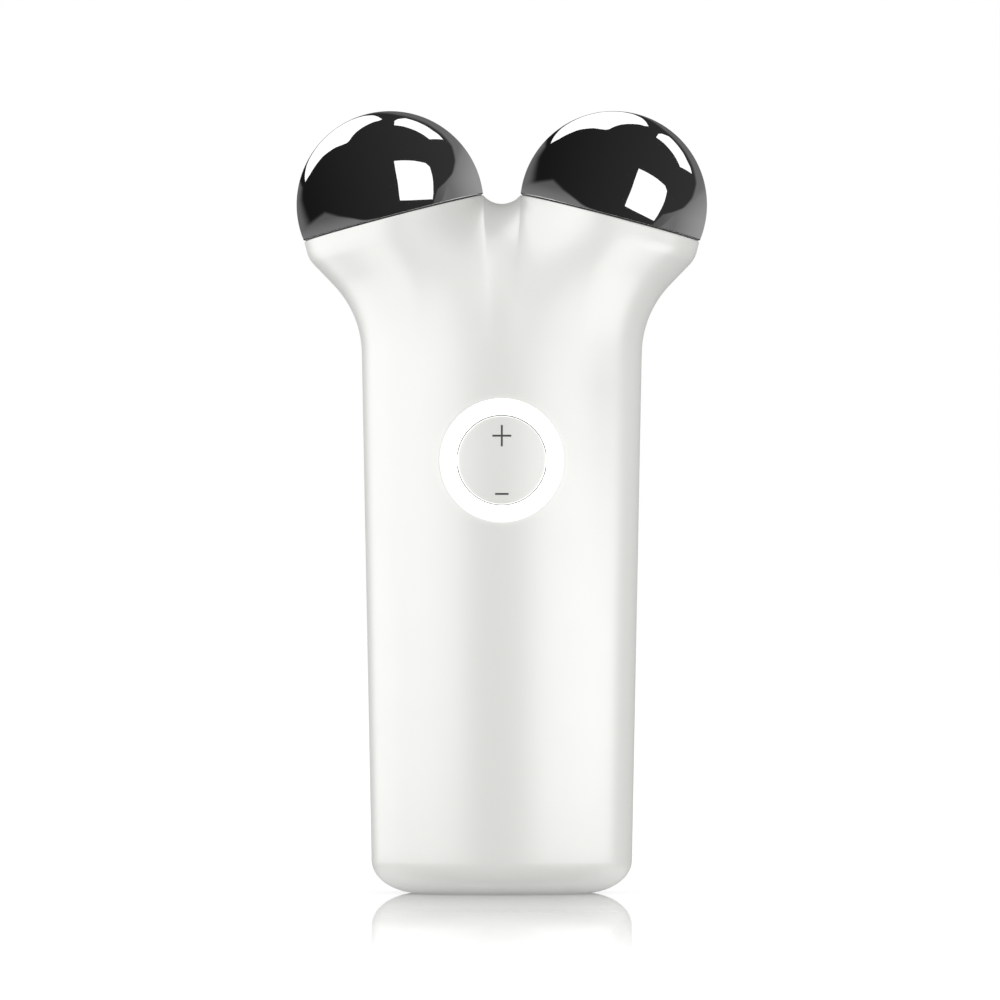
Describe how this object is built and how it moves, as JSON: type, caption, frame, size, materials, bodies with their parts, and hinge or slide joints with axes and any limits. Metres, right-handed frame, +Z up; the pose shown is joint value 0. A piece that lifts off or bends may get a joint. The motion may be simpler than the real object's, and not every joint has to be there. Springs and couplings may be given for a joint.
{
  "type": "facial toning device",
  "caption": "Upright Y-shaped handheld microcurrent toner: two chrome contact spheres on a soft-touch handle with a rocking button in a lit ring.",
  "frame": {"origin": "centre of the flat base", "axes": "+Z up the handle to the spheres, -Y the way the button faces, +X to the right as the button is seen"},
  "size_m": [0.057, 0.0276, 0.1087],
  "materials": {
    "soft_white": "soft-touch satin coating",
    "plated_chrome": "mirror plated",
    "seal_black": "thin black sealing ring",
    "ring_light": "frosted light guide",
    "button_white": "satin",
    "frame_white": "moulded",
    "silicone_grey": "moulded silicone",
    "component_black": "moulded",
    "stem_ivory": "moulded",
    "led_amber": "clear encapsulant over phosphor",
    "board_green": "solder mask",
    "ferrite_grey": "sintered ferrite",
    "passive_tan": "ceramic body",
    "screw_steel": "zinc plated",
    "chassis_grey": "moulded",
    "cell_foil": "laminated pouch foil",
    "foam_grey": "closed-cell foam",
    "connector_ivory": "moulded nylon",
    "lead_red": "insulated",
    "port_steel": "drawn steel shell",
    "silicone_black": "moulded silicone",
    "ribbon_amber": "polyimide film",
    "tag_brass": "tinned brass",
    "lead_white": "insulated"
  },
  "bodies": {
    "device": {"front_shell": "soft_white", "rear_shell": "soft_white", "sphere_left": "plated_chrome", "sphere_right": "plated_chrome", "seal_left": "seal_black", "seal_right": "seal_black", "light_ring": "ring_light", "button_frame": "frame_white", "keypad": "silicone_grey", "switch_plus": "component_black", "switch_minus": "component_black", "ring_lights": "led_amber", "main_board": "board_green", "board_chips": "component_black", "board_coil": "ferrite_grey", "board_passives": "passive_tan", "board_screws": "screw_steel", "buzzer": "component_black", "chassis": "chassis_grey", "battery_cell": "cell_foil", "battery_foam": "foam_grey", "battery_socket": "connector_ivory", "battery_plug": "connector_ivory", "battery_leads": "lead_red", "charge_board": "board_green", "charge_screws": "screw_steel", "port_shell": "port_steel", "port_tongue": "component_black", "port_gasket": "silicone_black", "charge_ribbon": "ribbon_amber", "head_bracket": "chassis_grey", "bracket_screws": "screw_steel", "sphere_screws": "screw_steel", "sphere_tags": "tag_brass", "sphere_lead_left": "lead_white", "sphere_lead_right": "lead_white"},
    "button": {"button_cap": "button_white"},
    "plus_stem": {"stem_plus": "stem_ivory"},
    "minus_stem": {"stem_minus": "stem_ivory"}
  },
  "joints": [
    {"name": "button_rock", "type": "hinge", "parent": "device", "child": "button", "pos_m": [0, -0.01067, 0.0601], "axis": [1, 0, 0], "range_deg": [-3, 3], "stiffness_Nm_per_rad": 0.1, "deforming": ["keypad"]},
    {"name": "plus_press", "type": "slide", "parent": "device", "child": "plus_stem", "axis": [0, 1, 0], "range_m": [0, 0.00025], "stiffness_N_per_m": 6400},
    {"name": "minus_press", "type": "slide", "parent": "device", "child": "minus_stem", "axis": [0, 1, 0], "range_m": [0, 0.00025], "stiffness_N_per_m": 6400}
  ]
}
